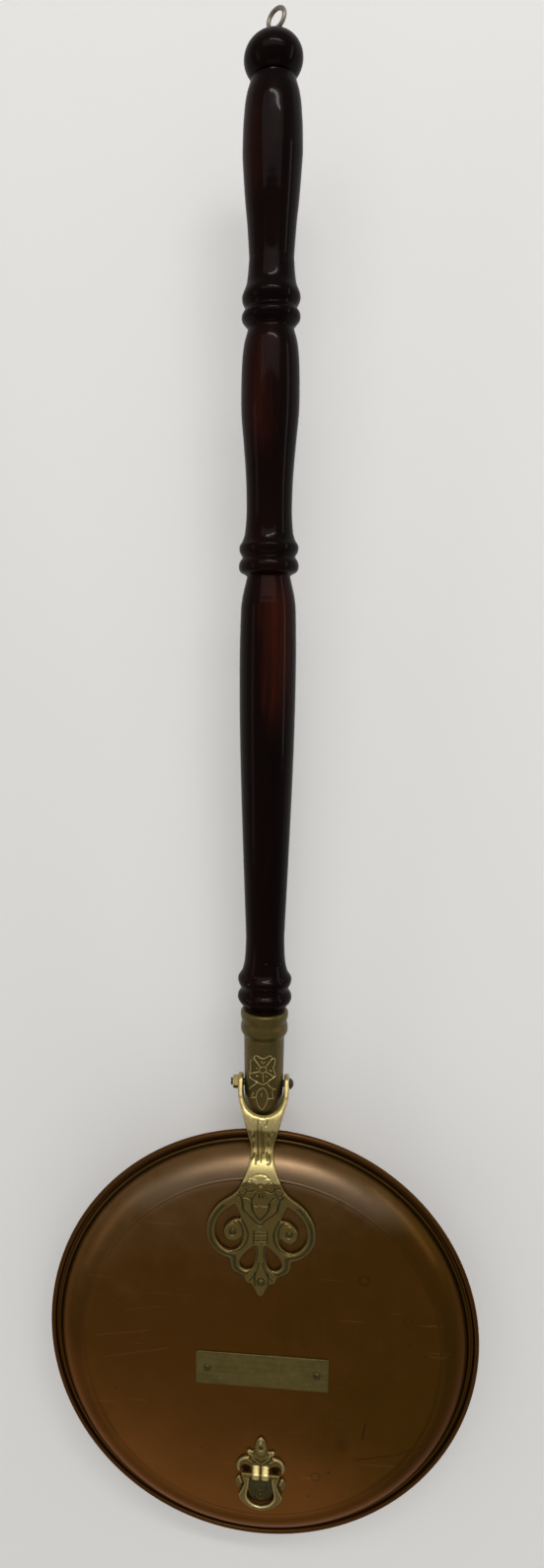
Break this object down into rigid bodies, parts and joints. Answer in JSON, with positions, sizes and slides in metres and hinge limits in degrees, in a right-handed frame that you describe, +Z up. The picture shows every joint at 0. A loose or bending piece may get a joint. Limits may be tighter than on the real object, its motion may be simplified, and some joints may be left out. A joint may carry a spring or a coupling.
{
  "type": "bed warming pan",
  "caption": "Lidded copper pan on a long turned wooden handle, for hot coals; the hinged lid has a pierced brass strap, a bare plate and a drop pull.",
  "frame": {"origin": "centre of the pan's flat bottom, on the surface that the pan stands on", "axes": "+Z up out of the pan, +Y from the pan along the handle, +X to the right when looking from the pan along the handle"},
  "size_m": [0.3048, 1.0218, 0.1061],
  "materials": {
    "copper": "aged copper sheet with a satin sheen",
    "brass": "aged cast brass",
    "wood": "dark red-brown lacquer, glossy",
    "steel": "dull steel",
    "bronzed_steel": "bronzed steel wire"
  },
  "bodies": {
    "pan_and_handle": {"pan": "copper", "rim_wire": "steel", "socket_backing": "brass", "socket_rivets": "copper", "handle_socket": "brass", "hinge_bolt": "steel", "hinge_nut": "brass", "handle_lower": "wood", "handle_middle": "wood", "handle_top": "wood", "section_studs": "steel", "hanging_eye": "bronzed_steel"},
    "lid": {"lid": "copper", "hinge_strap": "brass", "strap_rivets": "brass", "name_plate": "brass", "name_plate_rivets": "brass", "pull_backplate": "brass", "pull_rivets": "brass"},
    "bail": {"pull_bail": "brass"}
  },
  "joints": [
    {"name": "lid_hinge", "type": "hinge", "parent": "pan_and_handle", "child": "lid", "pos_m": [0, 0.1815, 0.04897], "axis": [-1, 0, 0], "range_deg": [0, 95]},
    {"name": "bail_swing", "type": "hinge", "parent": "lid", "child": "bail", "pos_m": [0.0017, -0.0903, 0.08017], "axis": [-1, 0, 0], "range_deg": [0, 155]}
  ]
}
